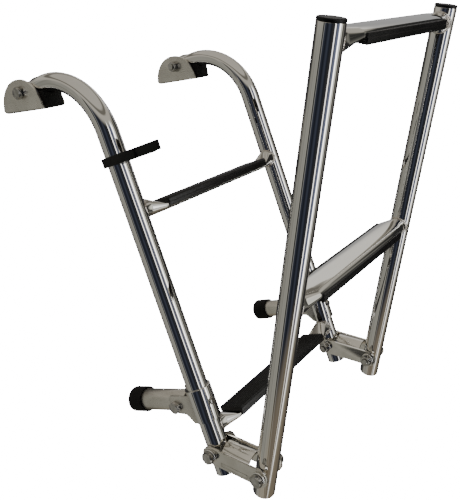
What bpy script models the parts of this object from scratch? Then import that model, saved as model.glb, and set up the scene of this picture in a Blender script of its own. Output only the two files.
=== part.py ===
"""Folding boarding ladder for a boat's stern.

Two goosenecked tubes hang from deck brackets and carry two rungs. A short hinge link at each
foot joins them to a lower section of two stiles and two rungs, which folds up in front of the
upper section. Stand-off arms with rubber feet hold the ladder clear of the hull.

Frame: origin on the deck, midway between the brackets, under the pivot bolts. +Y points to the
boat, -Y out over the water, +Z up, and left is -X. Units are metres.
"""
import bmesh
import bpy
from math import cos, pi, radians, sin, tau
from mathutils import Matrix, Vector

# Tubes
GAP = 0.0003                # between pieces that touch
SHY = 0.0001                # keeps faces that are joined from lying in one plane
TUBE_RADIUS = 0.0125
TUBE_WALL = 0.0015
TUBE_SPACING = 0.270        # between the two tube axes
TUBE_SIDES = 20
TUBE_EASE = 0.0008          # chamfer of a stile's foot

# Rest pose, each angle measured from the section before it
LEAN = radians(11.0)
LINK_TURN = radians(19.5)
STILE_TURN = radians(9.8)

# Upper section, measured from the pivot bolt
NECK_STRAIGHT = 0.024
NECK_RADIUS = 0.080
NECK_HEEL = 0.012
NECK_STEPS = 9
NECK_SQUASH = 0.87          # in-plane thickness of the bend, as a share of the tube
LEG_DROP = 0.455            # pivot bolt down to the link bolt
UPPER_HEEL = 0.028          # tube below the link bolt
RUNG_1_HEIGHT = 0.285       # above the link bolt
RUNG_2_HEIGHT = 0.0263

# Lower section, measured from the second link bolt
STILE_TOP = 0.4755
STILE_HEEL = 0.0295
LOWER_RUNG_HEIGHTS = (0.456, 0.2045)

# Rungs and treads
RUNG_RADIUS = 0.011
RUNG_WALL = 0.0012
RUNG_FLAT_HALF = 0.100      # the rung is pressed flat on its stepped side out to here
RUNG_ROUND_FROM = 0.1205    # and round again from here
RUNG_FLAT_REACH = 0.0149    # half the width of the pressed part
RUNG_FLAT_TOP = -0.0026     # height of its flat above the rung's axis
RUNG_FLAT_EDGE = 0.0014     # height of the flat above the widest line
RUNG_EDGE_POWER = 5.0       # superellipse powers of the flat's edge and of the belly
RUNG_BELLY_POWER = 2.5
TREAD_LENGTH = 0.196
TREAD_WALL = 0.0022
TREAD_HOOK = 0.0007         # how far the skirt's foot closes in under the rung
TREAD_STRAIGHT = -0.0052    # heights above the rung's axis, of the skirt's straight part
TREAD_SKIRT = -0.0072       # and of its foot
TREAD_CHAMFER = 0.001
TREAD_TOP = 0.0033
RIB_HEIGHT = 0.0010
RIB_COUNT = 11
RIB_PROFILE = ((0.20, 0.0), (0.32, 1.0), (0.68, 1.0), (0.80, 0.0))  # shares of its pitch and height

# Deck bracket
PIVOT_HEIGHT = 0.0225
BRACKET_PLATE = 0.003
BRACKET_HALF_WIDTH = 0.016
EAR_RADIUS = 0.038
EAR_SHIFT = 0.002           # middle of the bracket, towards the boat from the pivot
EAR_CORNER = 0.006
BRACKET_BEND = 0.004        # outer radius of the channel's two bends
SCREW_HOLE_RADIUS = 0.00325
SCREW_HOLES = (-0.006, 0.026)
PAD_LIP = 0.0025
PAD_TO = -0.017
PAD_TOP = 0.021
PAD_FLOOR = 0.0005

# Hinge link
LINK_PITCH = 0.065
LINK_PLATE = 0.003
LINK_HALF_WIDTH = 0.016
LINK_END_RADIUS = 0.0105
ARCH_FROM = 0.0142          # the back's ends along the link
ARCH_TO = 0.0505
BACK_RADIUS = 0.0152        # outside of the half-round back
BACK_BORE = 0.0131
BACK_FOOT = -0.004          # height of the back's lower edges, inside the cheeks
BACK_STEPS = 12

# Bolts, washers and nuts
BOLT_RADIUS = 0.004
HOLE_RADIUS = BOLT_RADIUS + GAP
HEX_RADIUS = 0.0075
HEAD_HEIGHT = 0.0053
NUT_HEIGHT = 0.0065
BOLT_TAIL = 0.002
WASHER_RADIUS = 0.008
WASHER_THICK = 0.0014

# Stand-off clamp and arm, heights above the link bolt
SLEEVE_WALL = 0.0022
SLEEVE_BOTTOM = 0.038
SLEEVE_TOP = 0.0765
ARM_HEIGHT = 0.059
ARM_BOLT_REACH = 0.028
CHEEK_REACH = 0.037
CHEEK_TOP = 0.0715
CHEEK_LOW = 0.049
CHEEK_CORNER = 0.004
CHEEK_ROOT = 0.002          # where a cheek starts, ahead of the tube's axis
CHEEK_INSET = 0.0005        # its low edge above the sleeve's
ARM_FROM = 0.018
ARM_TO = 0.1115
FOOT_FROM = 0.092
FOOT_RADIUS = 0.0150
FOOT_WALL = 0.0032
FOOT_EDGE = 0.0028
SET_SCREW_RADIUS = 0.0026
SET_SCREW_HEAD_RADIUS = 0.0042
SET_SCREW_HEAD_HEIGHT = 0.0025

# Stowage clip on the left upper tube
CLIP_HEIGHT = 0.3452
CLIP_THICK = 0.0103
CLIP_RING_RADIUS = 0.0170
CLIP_HALF_WIDTH = 0.0165
CLIP_NECK_HALF_WIDTH = 0.0150
CLIP_NECK_FROM = -0.046
CLIP_NECK_TO = -0.056
CLIP_END = -0.0825
CLIP_EDGE = 0.0012
CLIP_NECK_SLOPE = 0.002
CLIP_CORNER = 0.008

# Stile top plug
PLUG_CAP = 0.003
PLUG_STEM = 0.015
PLUG_EDGE = 0.001

# Worked out
LEG_REACH = NECK_STRAIGHT + NECK_RADIUS
LEG_X = TUBE_SPACING / 2
BORE_RADIUS = TUBE_RADIUS + GAP
TUBE_BORE = TUBE_RADIUS - TUBE_WALL
SIDES = ((-1, "left"), (1, "right"))

MATERIALS = {}


# ---------------------------------------------------------------- scene helpers

def clear_scene():
    for item in list(bpy.data.objects):
        bpy.data.objects.remove(item, do_unlink=True)


def new_collection(name):
    collection = bpy.data.collections.new(name)
    bpy.context.scene.collection.children.link(collection)
    return collection


def material(name, colour, roughness, metallic):
    made = bpy.data.materials.new(name)
    made.use_nodes = True
    shader = made.node_tree.nodes["Principled BSDF"]
    shader.inputs["Base Color"].default_value = (*colour, 1.0)
    shader.inputs["Roughness"].default_value = roughness
    shader.inputs["Metallic"].default_value = metallic
    MATERIALS[name] = made


def add_object(name, mesh, collection, parent, place=Matrix()):
    made = bpy.data.objects.new(name, mesh)
    collection.objects.link(made)
    made.parent = parent
    made.matrix_local = place
    return made


def add_frame(name, parent, location, turn=0.0):
    """An empty whose X axis is a hinge axis, turned about it from its parent."""
    frame = bpy.data.objects.new(name, None)
    PARTS.objects.link(frame)
    frame.parent = parent
    frame.location = location
    frame.rotation_euler = (turn, 0.0, 0.0)
    return frame


def part(name, mesh, parent, place, finish):
    made = add_object(name, mesh, PARTS, parent, place)
    made.data.materials.clear()
    made.data.materials.append(MATERIALS[finish])
    made.data.shade_smooth()
    made.data.set_sharp_from_angle(angle=radians(35.0))
    return made


def cutter(mesh, parent, place=Matrix()):
    made = add_object("cutter", mesh, CUTTERS, parent, place)
    made.hide_render = True
    made.display_type = "WIRE"
    return made


def combine(target, other, operation):
    step = target.modifiers.new(operation.lower(), "BOOLEAN")
    step.operation = operation
    step.solver = "EXACT"
    step.object = other


def cut(target, mesh, place=Matrix()):
    combine(target, cutter(mesh, target.parent, place), "DIFFERENCE")


# ---------------------------------------------------------------- mesh helpers

def finish_mesh(form, name):
    bmesh.ops.recalc_face_normals(form, faces=form.faces)
    mesh = bpy.data.meshes.new(name)
    form.to_mesh(mesh)
    form.free()
    return mesh


def rod_mesh(radius, length, sides=TUBE_SIDES):
    """A cylinder or prism along Z, centred on the origin, turned half a facet off the axes."""
    form = bmesh.new()
    bmesh.ops.create_cone(form, cap_ends=True, segments=sides, radius1=radius, radius2=radius,
                          depth=length, matrix=Matrix.Rotation(pi / sides, 4, "Z"))
    return finish_mesh(form, "rod")


def box_mesh(low, high):
    form = bmesh.new()
    bmesh.ops.create_cube(form, size=1.0)
    low = Vector(low)
    high = Vector(high)
    for vert in form.verts:
        vert.co = Vector(
            (low[axis] + (vert.co[axis] + 0.5) * (high[axis] - low[axis])) for axis in range(3)
        )
    return finish_mesh(form, "box")


def curve_to_mesh(curve):
    """The evaluated curve as a mesh in its own frame, with its caps welded."""
    holder = bpy.data.objects.new("curve", curve)
    CUTTERS.objects.link(holder)
    depsgraph = bpy.context.evaluated_depsgraph_get()
    mesh = bpy.data.meshes.new_from_object(holder.evaluated_get(depsgraph))
    form = bmesh.new()
    form.from_mesh(mesh)
    bmesh.ops.remove_doubles(form, verts=form.verts, dist=0.00001)
    bpy.data.objects.remove(holder)
    bpy.data.curves.remove(curve)
    return finish_mesh(form, "curve_mesh")


def plate_mesh(loops, thickness):
    """A flat plate in XY from closed outlines, centred on Z."""
    curve = bpy.data.curves.new("outline", "CURVE")
    curve.dimensions = "2D"
    curve.fill_mode = "BOTH"
    curve.extrude = thickness / 2
    for loop in loops:
        spline = curve.splines.new("POLY")
        spline.points.add(len(loop) - 1)
        for point, (x, y) in zip(spline.points, loop):
            point.co = (x, y, 0.0, 1.0)
        spline.use_cyclic_u = True
    return curve_to_mesh(curve)


def profile_mesh(points, closed):
    mesh = bpy.data.meshes.new("profile")
    edges = [(index, index + 1) for index in range(len(points) - 1)]
    if closed:
        edges.append((len(points) - 1, 0))
    mesh.from_pydata([(radius, 0.0, height) for radius, height in points], edges, [])
    return mesh


def turn(target, sides=TUBE_SIDES):
    """Screw the object's profile about Z. The profile runs down its outer side."""
    step = target.modifiers.new("turn", "SCREW")
    step.steps = sides
    step.render_steps = sides
    step.use_merge_vertices = True
    step.merge_threshold = 0.00001
    step.use_smooth_shade = True
    return target


def loft_mesh(sections):
    """A closed skin through equal rings of points, with flat ends."""
    form = bmesh.new()
    rings = [[form.verts.new(point) for point in ring] for ring in sections]
    count = len(rings[0])
    for near, far in zip(rings, rings[1:]):
        for index in range(count):
            following = (index + 1) % count
            form.faces.new((near[index], near[following], far[following], far[index]))
    form.faces.new(rings[0])
    form.faces.new(rings[-1])
    return finish_mesh(form, "loft")


def arc(centre, radius, start, end, steps):
    """Points on an arc, in degrees, both ends included."""
    points = []
    for index in range(steps + 1):
        angle = radians(start + (end - start) * index / steps)
        points.append((centre[0] + radius * cos(angle), centre[1] + radius * sin(angle)))
    return points


def along_x(location=(0.0, 0.0, 0.0), side=1):
    """A frame whose Z axis points along X, outward on the given side."""
    return Matrix.Translation(location) @ Matrix.Rotation(side * pi / 2, 4, "Y")


def along_y(location=(0.0, 0.0, 0.0), side=1):
    """A frame whose Z axis points along Y, towards the boat when side is 1."""
    return Matrix.Translation(location) @ Matrix.Rotation(-side * pi / 2, 4, "X")


def side_view(location=(0.0, 0.0, 0.0)):
    """A frame whose XY plane is the ladder's side view: its X is Y, its Y is Z."""
    axes = Matrix(((0, 0, 1, 0), (1, 0, 0, 0), (0, 1, 0, 0), (0, 0, 0, 1)))
    return Matrix.Translation(location) @ axes


# ---------------------------------------------------------------- fasteners

def bolt(name, parent, location, side, seat, length):
    """A hex bolt along X: its head seats outward at the distance given, its shank runs inward."""
    place = along_x(location, side)
    head = seat + GAP
    made = part(name, rod_mesh(HEX_RADIUS, HEAD_HEIGHT, 6), parent,
                place @ Matrix.Translation((0, 0, head + HEAD_HEIGHT / 2)), "bright_steel")
    shank_top = head + HEAD_HEIGHT / 2
    shank_bottom = shank_top - length
    shank = cutter(rod_mesh(BOLT_RADIUS, length, 16), parent,
                   place @ Matrix.Translation((0, 0, (shank_top + shank_bottom) / 2)))
    combine(made, shank, "UNION")


def nut(name, parent, location, side, seat):
    """A hex nut on the inward side, seated at the distance given."""
    middle = -(seat + GAP + NUT_HEIGHT / 2)
    place = along_x(location, side) @ Matrix.Translation((0, 0, middle))
    made = part(name, rod_mesh(HEX_RADIUS, NUT_HEIGHT, 6), parent, place, "bright_steel")
    cut(made, rod_mesh(HOLE_RADIUS, NUT_HEIGHT * 2, 16), place)


def bolt_pair(prefix, parent, location, side, seat):
    """A bolt and its nut, clamping whatever reaches the seat distance on both sides."""
    length = HEAD_HEIGHT / 2 + 2 * seat + 2 * GAP + NUT_HEIGHT + BOLT_TAIL
    bolt(prefix + "_bolt", parent, location, side, seat, length)
    nut(prefix + "_nut", parent, location, side, seat)


def washer(name, parent, location, side, seat):
    """A flat washer whose inner face lies at the distance given, on the given side."""
    near = seat + GAP
    far = near + WASHER_THICK
    ring = [(WASHER_RADIUS, far), (WASHER_RADIUS, near), (HOLE_RADIUS, near), (HOLE_RADIUS, far)]
    turn(part(name, profile_mesh(ring, True), parent, along_x(location, side), "bright_steel"), 20)


# ---------------------------------------------------------------- deck brackets

def deck_bracket(side, label):
    """A channel that opens upward, its two walls cut to a D round the pivot."""
    x = side * LEG_X
    reach = EAR_RADIUS
    outer = BRACKET_HALF_WIDTH
    inner = outer - BRACKET_PLATE
    bend = BRACKET_BEND
    low = bend - BRACKET_PLATE
    channel = (
        [(-outer, EAR_RADIUS)]
        + arc((-outer + bend, bend), bend, 180, 270, 4)
        + arc((outer - bend, bend), bend, 270, 360, 4)
        + [(outer, EAR_RADIUS), (inner, EAR_RADIUS)]
        + arc((inner - low, BRACKET_PLATE + low), low, 0, -90, 2)
        + arc((-inner + low, BRACKET_PLATE + low), low, -90, -180, 2)
        + [(-inner, EAR_RADIUS)]
    )
    upright = Matrix.Translation((x, EAR_SHIFT, 0)) @ Matrix.Rotation(pi / 2, 4, "X")
    bracket = part(f"{label}_deck_bracket", plate_mesh([channel], 2 * reach), DECK, upright, "plain_steel")
    corner = reach - EAR_CORNER
    ear = [(-reach, -GAP), (corner, -GAP)]
    ear += arc((corner, EAR_CORNER - GAP), EAR_CORNER, -90, -8, 5)
    ear += arc((0.0, 0.0), reach, 11, 180, 22)
    outline = cutter(plate_mesh([ear], 3 * outer), DECK, side_view((x, EAR_SHIFT, 0)))
    combine(bracket, outline, "INTERSECT")
    cut(bracket, rod_mesh(HOLE_RADIUS, 3 * outer, 16), along_x((x, 0, PIVOT_HEIGHT)))
    for y in SCREW_HOLES:
        cut(bracket, rod_mesh(SCREW_HOLE_RADIUS, 3 * BRACKET_PLATE, 16), Matrix.Translation((x, y, 0)))


def bracket_pad(side, label):
    """The rubber saddle under the tube, with a lip over the end of the bracket's base."""
    x = side * LEG_X
    half = BRACKET_HALF_WIDTH - BRACKET_PLATE - 2 * GAP
    base_end = EAR_SHIFT - EAR_RADIUS - GAP
    low = (x - half, base_end - PAD_LIP, PAD_FLOOR)
    high = (x + half, PAD_TO, PAD_TOP)
    pad = part(f"{label}_bracket_pad", box_mesh(low, high), DECK, Matrix(), "black_rubber")
    cut(pad, box_mesh((x - 2 * half, base_end, -PAD_TOP), (x + 2 * half, 0.0, BRACKET_PLATE + GAP)))
    tube = Matrix.Translation((x, 0, PIVOT_HEIGHT)) @ Matrix.Rotation(-LEAN, 4, "X") @ along_y()
    cut(pad, rod_mesh(BORE_RADIUS, 4 * EAR_RADIUS), tube)


# ---------------------------------------------------------------- upper section

def neck_rings(x, radius, extra):
    """Rings along the tube from the pivot heel through the bend to the foot, squashed in the bend."""
    stations = [(NECK_HEEL + extra, 0.0, 90.0)]
    for step in range(NECK_STEPS + 1):
        angle = 90.0 + 90.0 * step / NECK_STEPS
        centre_y = -NECK_STRAIGHT + NECK_RADIUS * cos(radians(angle))
        centre_z = -NECK_RADIUS + NECK_RADIUS * sin(radians(angle))
        stations.append((centre_y, centre_z, angle))
    stations.append((-LEG_REACH, -LEG_DROP - UPPER_HEEL - extra, 180.0))
    rings = []
    for y, z, angle in stations:
        blend = min(1.0, (180.0 - angle) / 60.0)
        thick = radius - TUBE_RADIUS * (1.0 - NECK_SQUASH) * blend
        ring = []
        for index in range(TUBE_SIDES):
            turned = tau * index / TUBE_SIDES
            outward = thick * cos(turned)
            ring.append((x + radius * sin(turned), y + outward * cos(radians(angle)),
                         z + outward * sin(radians(angle))))
        rings.append(ring)
    return rings


def upper_tube(side, label):
    x = side * LEG_X
    outer = loft_mesh(neck_rings(x, TUBE_RADIUS, 0.0))
    tube = part(f"{label}_upper_tube", outer, UPPER, Matrix(), "polished_steel")
    cut(tube, loft_mesh(neck_rings(x, TUBE_BORE, 0.005)))
    for y, z in ((0.0, 0.0), (-LEG_REACH, -LEG_DROP)):
        cut(tube, rod_mesh(HOLE_RADIUS, 0.04, 16), along_x((x, y, z)))


def power(value, exponent):
    """The value raised to a power, keeping its sign."""
    return abs(value) ** exponent if value > 0 else -(abs(value) ** exponent)


def rung_section(x, trim):
    """A ring of the rung at x: round at the ends, a flat top and a rounded belly under the tread."""
    blend = (abs(x) - RUNG_FLAT_HALF) / (RUNG_ROUND_FROM - RUNG_FLAT_HALF)
    blend = min(1.0, max(0.0, blend))
    radius = RUNG_RADIUS - trim
    reach = RUNG_FLAT_REACH - trim
    widest = RUNG_FLAT_TOP - RUNG_FLAT_EDGE
    ring = []
    for index in range(TUBE_SIDES):
        angle = tau * (index + 0.5) / TUBE_SIDES
        rise = RUNG_FLAT_EDGE - trim
        shape = 2.0 / RUNG_EDGE_POWER
        if sin(angle) < 0:
            rise = RUNG_RADIUS + widest - trim
            shape = 2.0 / RUNG_BELLY_POWER
        flat_y = reach * power(cos(angle), shape)
        flat_z = widest + rise * power(sin(angle), shape)
        ring.append((x, flat_y + (radius * cos(angle) - flat_y) * blend,
                     flat_z + (radius * sin(angle) - flat_z) * blend))
    return ring


def rung_stations(extra):
    span = RUNG_ROUND_FROM - RUNG_FLAT_HALF
    half = [RUNG_FLAT_HALF + span * step / 4 for step in range(5)] + [LEG_X + extra]
    return [-x for x in reversed(half)] + half


def facing(location, up):
    """A frame at a rung's middle whose Z axis points to the side that is stepped on."""
    return Matrix.Translation(location) @ Matrix.Rotation(0.0 if up > 0 else pi, 4, "X")


def rung(name, parent, location, up):
    place = facing(location, up)
    outer = loft_mesh([rung_section(x, 0.0) for x in rung_stations(0.0)])
    inner = loft_mesh([rung_section(x, RUNG_WALL) for x in rung_stations(0.004)])
    made = part(name, outer, parent, place, "polished_steel")
    cut(made, inner, place)
    for side, _ in SIDES:
        tube_place = place @ Matrix.Translation((side * LEG_X, 0, 0))
        cut(made, rod_mesh(BORE_RADIUS, 4 * TUBE_RADIUS), tube_place)


def tread_outline():
    inner = RUNG_FLAT_REACH + GAP
    outer = inner + TREAD_WALL
    seat = RUNG_FLAT_TOP + GAP
    floor = TREAD_TOP - RIB_HEIGHT
    points = [(-outer, TREAD_SKIRT), (-outer, floor - TREAD_WALL / 2)]
    pitch = 2 * outer / RIB_COUNT
    for index in range(RIB_COUNT):
        left = -outer + index * pitch
        for share, height in RIB_PROFILE:
            points.append((left + share * pitch, floor + height * RIB_HEIGHT))
    points += [(outer, floor - TREAD_WALL / 2), (outer, TREAD_SKIRT)]
    hollow = [(inner - TREAD_HOOK, TREAD_SKIRT), (inner, TREAD_STRAIGHT),
              (inner, seat - TREAD_CHAMFER), (inner - TREAD_CHAMFER, seat)]
    return points + hollow + [(-y, z) for y, z in reversed(hollow)]


def tread(name, parent, location, up):
    """A ribbed rubber channel clipped over the rung's flat, on the side that up names."""
    part(name, plate_mesh([tread_outline()], TREAD_LENGTH), parent, facing(location, up) @ side_view(),
         "black_tread")


# ---------------------------------------------------------------- stand-off arms

def leg_place(side, height, reach=0.0):
    return (side * LEG_X, -LEG_REACH + reach, -LEG_DROP + height)


def stand_off_clamp(side, label):
    """A sleeve round the tube with two cheeks that straddle the arm."""
    outer = BORE_RADIUS + SLEEVE_WALL
    tall = SLEEVE_TOP - SLEEVE_BOTTOM
    middle = (SLEEVE_BOTTOM + SLEEVE_TOP) / 2
    place = Matrix.Translation(leg_place(side, middle))
    clamp = part(f"{label}_stand_off_clamp", rod_mesh(outer, tall), UPPER, place, "plain_steel")
    low = SLEEVE_BOTTOM + CHEEK_INSET
    cheek = [(CHEEK_ROOT, low), (0.5 * outer, low), (0.9 * outer, CHEEK_LOW - 0.003),
             (1.1 * outer, CHEEK_LOW), (CHEEK_REACH, CHEEK_LOW + 0.002)]
    cheek += arc((CHEEK_REACH - CHEEK_CORNER, CHEEK_TOP - CHEEK_CORNER), CHEEK_CORNER, 0, 90, 4)
    cheek += [(CHEEK_ROOT, CHEEK_TOP)]
    cheek_middle = BORE_RADIUS + SLEEVE_WALL / 2
    for face in (-1, 1):
        cheek_place = side_view(leg_place(side, 0.0)) @ Matrix.Translation((0, 0, face * cheek_middle))
        plate = cutter(plate_mesh([cheek], SLEEVE_WALL - 2 * SHY), UPPER, cheek_place)
        combine(clamp, plate, "UNION")
    cut(clamp, rod_mesh(BORE_RADIUS, 2 * tall, 32), place)
    arm_bolt = leg_place(side, ARM_HEIGHT, ARM_BOLT_REACH)
    cut(clamp, rod_mesh(HOLE_RADIUS, 4 * outer, 16), along_x(arm_bolt))
    screw = leg_place(side, ARM_HEIGHT, -outer)
    cut(clamp, rod_mesh(SET_SCREW_RADIUS + GAP, 2 * SLEEVE_WALL + TUBE_WALL, 12), along_y(screw))


def clamp_screw(side, label):
    """A short screw whose end bears on the tube."""
    outer = BORE_RADIUS + SLEEVE_WALL
    top = SET_SCREW_HEAD_HEIGHT
    tip = -(SLEEVE_WALL + GAP)
    profile = [(0.0, top), (SET_SCREW_HEAD_RADIUS * 0.7, top), (SET_SCREW_HEAD_RADIUS, top * 0.5),
               (SET_SCREW_HEAD_RADIUS, 0.0), (SET_SCREW_RADIUS, 0.0), (SET_SCREW_RADIUS, tip), (0.0, tip)]
    place = along_y(leg_place(side, ARM_HEIGHT, -outer - GAP), -1)
    turn(part(f"{label}_clamp_screw", profile_mesh(profile, False), UPPER, place, "bright_steel"), 12)


def stand_off_arm(side, label, frame):
    """The arm's tube and rubber foot, in the frame of its clamp bolt."""
    start = ARM_FROM - ARM_BOLT_REACH
    end = ARM_TO - ARM_BOLT_REACH
    profile = [(TUBE_RADIUS, end), (TUBE_RADIUS, start), (TUBE_BORE, start), (TUBE_BORE, end)]
    arm = turn(part(f"{label}_arm_tube", profile_mesh(profile, True), frame, along_y(), "polished_steel"))
    cut(arm, rod_mesh(HOLE_RADIUS, 0.04, 16), along_x())
    mouth = FOOT_FROM - ARM_BOLT_REACH
    tip = end + GAP + FOOT_WALL
    rounded = arc((FOOT_RADIUS - FOOT_EDGE, tip - FOOT_EDGE), FOOT_EDGE, 90, 0, 4)
    lip = 0.001
    foot = ([(0.0, tip)] + rounded
            + [(FOOT_RADIUS, mouth + lip), (FOOT_RADIUS - lip, mouth), (BORE_RADIUS, mouth),
               (BORE_RADIUS, end + GAP), (0.0, end + GAP)])
    turn(part(f"{label}_rubber_foot", profile_mesh(foot, False), frame, along_y(), "black_rubber"))


# ---------------------------------------------------------------- stowage clip

def stowage_clip():
    """A plastic ring round the left tube whose hooked arm takes the folded stile."""
    wide = CLIP_HALF_WIDTH
    neck = CLIP_NECK_HALF_WIDTH
    jaw = TUBE_RADIUS + 2 * GAP
    jaw_floor = -LINK_PITCH + jaw
    outline = arc((0.0, 0.0), CLIP_RING_RADIUS, 170, 10, 14)
    outline += [(wide, jaw_floor + CLIP_CORNER), (wide - CLIP_CORNER, jaw_floor)]
    outline += arc((0.0, -LINK_PITCH), jaw, 90, 180, 8)
    outline += [(-jaw, CLIP_END), (-wide + CLIP_EDGE, CLIP_END), (-wide, CLIP_END + CLIP_EDGE)]
    outline += [(-wide, CLIP_NECK_TO), (-neck, CLIP_NECK_TO + CLIP_NECK_SLOPE),
                (-neck, CLIP_NECK_FROM - CLIP_NECK_SLOPE),
                (-wide, CLIP_NECK_FROM)]
    place = Matrix.Translation(leg_place(-1, CLIP_HEIGHT))
    clip = part("stowage_clip", plate_mesh([outline], CLIP_THICK), UPPER, place, "black_plastic")
    cut(clip, rod_mesh(BORE_RADIUS, 2 * CLIP_THICK, 32), place)


# ---------------------------------------------------------------- hinge links

def link_back():
    """The half-round back in section, with short legs that run into the cheeks."""
    wall = LINK_HALF_WIDTH - LINK_PLATE / 2
    legs_out = LINK_HALF_WIDTH - SHY
    outside = arc((0.0, 0.0), BACK_RADIUS, 18, 162, BACK_STEPS)
    inside = arc((0.0, 0.0), BACK_BORE, 180, 0, BACK_STEPS)
    shoulder = outside[0][1] - (legs_out - outside[0][0])
    return ([(legs_out, BACK_FOOT), (legs_out, shoulder)] + outside
            + [(-legs_out, shoulder), (-legs_out, BACK_FOOT), (-wall, BACK_FOOT)]
            + inside + [(wall, BACK_FOOT)])


def hinge_link(side, label):
    """Two round-ended cheeks joined between the bolts by a half-round back."""
    x = side * LEG_X
    end = LINK_END_RADIUS
    outline = (
        arc((0.0, 0.0), end, 90, -90, 10)
        + arc((-LINK_PITCH, 0.0), end, -90, -270, 10)
    )
    middle = LINK_HALF_WIDTH - LINK_PLATE / 2
    cheek = plate_mesh([outline], LINK_PLATE)
    link = part(f"{label}_hinge_link", cheek, LINK, side_view((x - middle, 0, 0)), "plain_steel")
    other = cutter(plate_mesh([outline], LINK_PLATE), LINK, side_view((x + middle, 0, 0)))
    back_place = Matrix.Translation((x, -(ARCH_FROM + ARCH_TO) / 2, 0)) @ Matrix.Rotation(pi / 2, 4, "X")
    arch = cutter(plate_mesh([link_back()], ARCH_TO - ARCH_FROM), LINK, back_place)
    combine(link, arch, "UNION")
    combine(link, other, "UNION")
    for y in (0.0, -LINK_PITCH):
        cut(link, rod_mesh(HOLE_RADIUS, 4 * LINK_HALF_WIDTH, 16), along_x((x, y, 0)))


# ---------------------------------------------------------------- lower section

def stile(side, label):
    x = side * LEG_X
    top = STILE_TOP - PLUG_CAP - GAP
    profile = [(TUBE_RADIUS, top), (TUBE_RADIUS, -STILE_HEEL + TUBE_EASE),
               (TUBE_RADIUS - TUBE_EASE, -STILE_HEEL), (TUBE_BORE, -STILE_HEEL), (TUBE_BORE, top)]
    place = Matrix.Translation((x, 0, 0))
    tube = turn(part(f"{label}_stile", profile_mesh(profile, True), LOWER, place, "polished_steel"))
    cut(tube, rod_mesh(HOLE_RADIUS, 0.04, 16), along_x((x, 0, 0)))
    stem = TUBE_BORE - GAP
    cap = STILE_TOP
    shoulder = cap - PLUG_CAP
    plug = [(0.0, cap), (TUBE_RADIUS - PLUG_EDGE, cap), (TUBE_RADIUS, cap - PLUG_EDGE),
            (TUBE_RADIUS, shoulder), (stem, shoulder), (stem, shoulder - PLUG_STEM), (0.0, shoulder - PLUG_STEM)]
    turn(part(f"{label}_stile_plug", profile_mesh(plug, False), LOWER, place, "black_plastic"))


# ---------------------------------------------------------------- assembly

clear_scene()
PARTS = new_collection("boarding_ladder")
CUTTERS = new_collection("cutters")

material("polished_steel", (0.62, 0.61, 0.59), 0.08, 1.0)
material("plain_steel", (0.60, 0.58, 0.54), 0.32, 1.0)
material("bright_steel", (0.68, 0.68, 0.67), 0.18, 1.0)
material("black_rubber", (0.018, 0.018, 0.018), 0.75, 0.0)
material("black_tread", (0.022, 0.022, 0.023), 0.80, 0.0)
material("black_plastic", (0.015, 0.015, 0.016), 0.45, 0.0)

DECK = add_frame("deck_frame", None, (0, 0, 0))
UPPER = add_frame("upper_hinge", DECK, (0, 0, PIVOT_HEIGHT), -LEAN)
LINK = add_frame("link_hinge", UPPER, (0, -LEG_REACH, -LEG_DROP), LINK_TURN)
LOWER = add_frame("stile_hinge", LINK, (0, -LINK_PITCH, 0), STILE_TURN)

LINK_SEAT = LINK_HALF_WIDTH + GAP + WASHER_THICK
CLAMP_SEAT = BORE_RADIUS + SLEEVE_WALL

for side, label in SIDES:
    x = side * LEG_X
    deck_bracket(side, label)
    bracket_pad(side, label)
    bolt_pair(f"{label}_pivot", DECK, (x, 0, PIVOT_HEIGHT), side, BRACKET_HALF_WIDTH)
    upper_tube(side, label)
    stand_off_clamp(side, label)
    clamp_screw(side, label)
    arm_frame = add_frame(f"{label}_arm_hinge", UPPER, leg_place(side, ARM_HEIGHT, ARM_BOLT_REACH))
    stand_off_arm(side, label, arm_frame)
    bolt_pair(f"{label}_arm", UPPER, leg_place(side, ARM_HEIGHT, ARM_BOLT_REACH), side, CLAMP_SEAT)
    hinge_link(side, label)
    for word, y in (("upper", 0.0), ("lower", -LINK_PITCH)):
        bolt_pair(f"{label}_{word}_link", LINK, (x, y, 0), side, LINK_SEAT)
        washer(f"{label}_{word}_outer_washer", LINK, (x, y, 0), side, LINK_HALF_WIDTH)
        washer(f"{label}_{word}_inner_washer", LINK, (x, y, 0), -side, LINK_HALF_WIDTH)
    stile(side, label)

stowage_clip()
for number, height in enumerate((RUNG_1_HEIGHT, RUNG_2_HEIGHT), 1):
    spot = (0, -LEG_REACH, -LEG_DROP + height)
    rung(f"upper_rung_{number}", UPPER, spot, 1)
    tread(f"upper_tread_{number}", UPPER, spot, 1)
for number, height in enumerate(LOWER_RUNG_HEIGHTS, 1):
    rung(f"lower_rung_{number}", LOWER, (0, 0, height), -1)
    tread(f"lower_tread_{number}", LOWER, (0, 0, height), -1)
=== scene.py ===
# Looks of the folding boarding ladder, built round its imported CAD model.
# Lengths are metres in the ladder's own frame: +Y to the boat, +Z up, left is -X.
from math import cos, pi, radians, sin, sqrt, tau

import bmesh
import bpy
from mathutils import Matrix, Vector


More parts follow.
